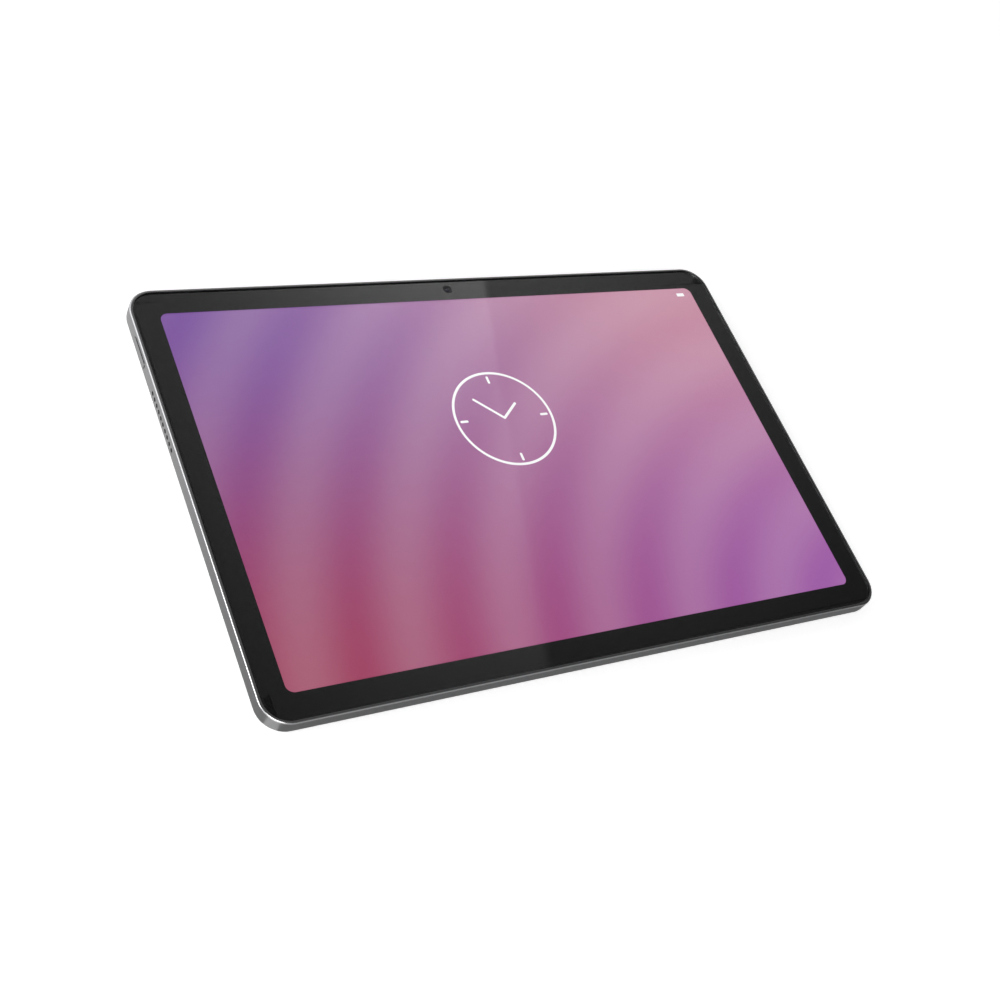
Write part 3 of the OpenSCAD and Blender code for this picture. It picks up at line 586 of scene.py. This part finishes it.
class TabletStage(Operator):
    """Set the floor, the lights and the camera"""
    bl_idname = "tablet.stage"
    bl_label = "Stage"

    def execute(self, context):
        chosen = context.scene.tablet_stage
        scene = context.scene
        scene.view_settings.view_transform = "Standard"
        add_floor(chosen)
        add_sky(scene)
        add_lamp("key_lamp", (-0.7, -0.9, 1.3), 1.1, chosen.key_power)
        add_lamp("fill_lamp", (-1.2, 0.2, 0.35), 0.5, chosen.fill_power)
        add_camera(chosen, scene)
        return {"FINISHED"}


def add_floor(chosen):
    """A pale floor that looks evenly white, and throws more light at the left wall than at the lower one."""
    net = Net("pale_floor")
    x, y, _ = net.position()
    left_wall, lower_wall = CASE_LOW[0] / MM, CASE_LOW[1] / MM
    right_wall, upper_wall = CASE_HIGH[0] / MM, CASE_HIGH[1] / MM
    seen = net.out(net.node("ShaderNodeLightPath"), "Is Camera Ray")
    cloud = net.noise(0.4, detail=2.0)
    pale = net.mix(cloud, [c * 0.985 for c in chosen.floor], chosen.floor)
    left = net.step(left_wall + 2, left_wall - 1, x) * (0.12 + 0.45 * net.step(-80.0, 60.0, y))
    front = net.step(lower_wall + 1, lower_wall - 2, y) * 0.04
    behind = net.step(right_wall - 2, right_wall + 1, x) + net.step(upper_wall - 1, upper_wall + 2, y)
    behind = behind.math("MINIMUM", 1.0) * 0.22
    # a bright wedge that the round lower left corner mirrors
    angle = net.math("ARCTAN2", lower_wall + 9 - y, left_wall + 9 - x)
    wedge = net.step(0.56, 0.60, angle) * net.step(1.16, 1.12, angle) * net.step(-100.0, -112.0, x)
    shade = 0.06 + left.math("MAXIMUM", front).math("MAXIMUM", behind) + wedge * 0.60
    hidden = net.mix(shade, (0, 0, 0), (1, 1, 1))
    wide = net.step(500.0, 2500.0, hypot(x, y))
    glow = net.mix(seen, hidden, net.mix(wide, (0.42, 0.42, 0.42), (0.95, 0.95, 0.95)))
    material = net.surface(Base_Color=net.mix(seen, (0.25, 0.25, 0.25), pale), Roughness=0.9,
                           Specular_IOR_Level=0.1, Emission_Color=glow, Emission_Strength=1.0)
    work = bmesh.new()
    bmesh.ops.create_circle(work, cap_ends=True, segments=64, radius=12.0,
                            matrix=Matrix.Translation((0, 0, CASE_LOW[2] - 0.02 * MM)))
    mesh = bpy.data.meshes.new("floor")
    work.to_mesh(mesh)
    work.free()
    floor = bpy.data.objects.new("floor", mesh)
    bpy.context.scene.collection.objects.link(floor)
    mesh.materials.append(material)


def add_sky(scene):
    """A pale surround with a soft box to the upper left, which the glass mirrors with a straight edge."""
    world = bpy.data.worlds.new("studio")
    scene.world = world
    net = Net("studio", world)
    way = net.out(net.node("ShaderNodeTexCoord"), "Generated")
    split = net.node("ShaderNodeSeparateXYZ", inputs={0: way})
    x, y, z = (net.out(split, axis) for axis in "XYZ")
    up = z.math("MAXIMUM", 0.02)
    across, ahead = x / up, y / up
    # the soft box ends on the line between these two directions
    start, end = Vector((0.793, 0.8065)), Vector((0.6765, 0.377))
    run = (end - start).normalized()
    side = (across - start.x) * run.y - (ahead - start.y) * run.x
    inside = net.step(-0.006, 0.006, side) * net.step(0.05, 0.12, z)
    far = net.step(0.15, 1.0, ahead)
    fall = 1 - 0.5 * net.step(0.78, 1.15, across)
    box_shade = 1 + inside * (1.15 - 1.45 * net.step(0.0, 0.36, side))
    base = (0.08 + far * 0.76) * fall * box_shade
    # a low window on the left, and a dimmer one in front
    low = net.step(0.80, 0.45, z)
    base = base + low * (net.step(0.1, -0.75, x) * 1.45 + net.step(-0.45, -0.9, y) * 0.55)
    seen = net.out(net.node("ShaderNodeLightPath"), "Is Camera Ray")
    strength = base * (1 - seen) + seen
    shown = net.node("ShaderNodeBackground", inputs={"Color": (1, 1, 1, 1), "Strength": strength})
    net.tree.links.new(shown.outputs[0], net.output.inputs[0])


def add_lamp(name, place, size, power):
    """A square soft lamp that points at the tablet."""
    data = bpy.data.lights.new(name, "AREA")
    data.size = size
    data.energy = power
    lamp = bpy.data.objects.new(name, data)
    bpy.context.scene.collection.objects.link(lamp)
    lamp.location = place
    lamp.rotation_euler = (-Vector(place)).to_track_quat("-Z", "Y").to_euler()


def add_camera(chosen, scene):
    """The camera, to the left of the tablet, before it and above it."""
    data = bpy.data.cameras.new("camera")
    data.lens = chosen.lens
    data.sensor_width = 36.0
    data.shift_x = 0.0252
    data.shift_y = -0.0175
    data.clip_start = 0.01
    camera = bpy.data.objects.new("camera", data)
    scene.collection.objects.link(camera)
    place = Vector((-0.2634, -0.2087, 0.3606))
    right = Vector((0.8534919, -0.3576678, 0.3789793))
    up = Vector((0.1066961, 0.8317951, 0.5447318))
    facing = Matrix((right, up, right.cross(up))).transposed().to_4x4()
    camera.matrix_world = Matrix.Translation(place) @ facing
    scene.camera = camera


class TabletPanel(Panel):
    """The tablet's pieces in the 3D view's sidebar"""
    bl_idname = "VIEW3D_PT_tablet"
    bl_label = "Tablet"
    bl_space_type = "VIEW_3D"
    bl_region_type = "UI"
    bl_category = "Tablet"

    def draw(self, context):
        for step in STEPS:
            self.layout.operator(step.bl_idname)
        for group in SETTINGS:
            box = self.layout.box()
            chosen = getattr(context.scene, group)
            for name in chosen.bl_rna.properties.keys():
                if name not in {"rna_type", "name"}:
                    box.prop(chosen, name)


SETTINGS = {
    "tablet_casing": TabletCasingSettings,
    "tablet_glass": TabletGlassSettings,
    "tablet_screen": TabletScreenSettings,
    "tablet_stage": TabletStageSettings,
}
STEPS = [TabletStage, TabletCasing, TabletGlass, TabletScreen, TabletKeys, TabletSockets, TabletCameras,
         TabletInside]
CLASSES = [*SETTINGS.values(), *STEPS, TabletPanel]


def register():
    for kind in CLASSES:
        bpy.utils.register_class(kind)
    for name, kind in SETTINGS.items():
        setattr(bpy.types.Scene, name, PointerProperty(type=kind))


def unregister():
    for name in SETTINGS:
        delattr(bpy.types.Scene, name)
    for kind in reversed(CLASSES):
        bpy.utils.unregister_class(kind)


def main():
    register()
    for step in STEPS:
        group, call = step.bl_idname.split(".")
        getattr(getattr(bpy.ops, group), call)()


if __name__ == "__main__":
    main()
